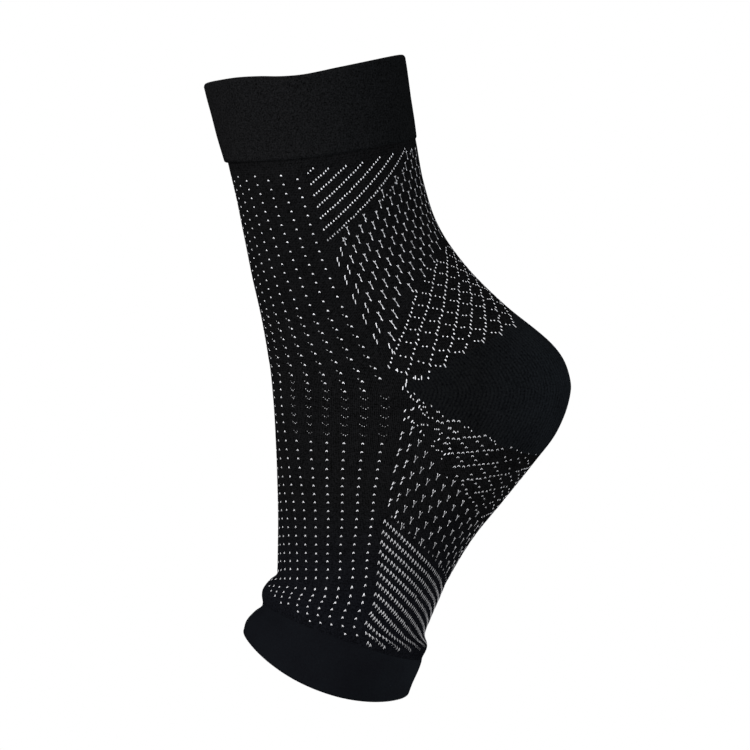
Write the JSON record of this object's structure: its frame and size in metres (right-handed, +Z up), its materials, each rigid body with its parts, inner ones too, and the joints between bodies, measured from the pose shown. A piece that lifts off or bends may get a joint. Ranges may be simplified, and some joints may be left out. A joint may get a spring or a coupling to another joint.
{
  "type": "ankle compression sleeve",
  "caption": "Open-toe knitted ankle sleeve in worn form: tapered leg tube, rounded heel pocket, foot tube and folded welts, squeezing ankle and arch.",
  "frame": {"origin": "middle of the ankle joint that the sleeve is worn on", "axes": "+Z up the leg, +X towards the back of the heel, +Y across the ankle; the sleeve is a mirror image of itself across y = 0"},
  "size_m": [0.1464, 0.0856, 0.2558],
  "materials": {
    "welt_knit": "plain black nylon and elastane rib knit, folded double, matt",
    "patterned_knit": "black nylon and elastane jersey knit with light grey jacquard stitches, matt",
    "heel_knit": "plain black nylon jersey knit, a little thicker, matt"
  },
  "bodies": {
    "root": {"ankle_welt": "welt_knit", "leg_tube": "patterned_knit", "heel_pocket": "heel_knit", "foot_tube": "patterned_knit", "toe_welt": "welt_knit"}
  },
  "joints": []
}
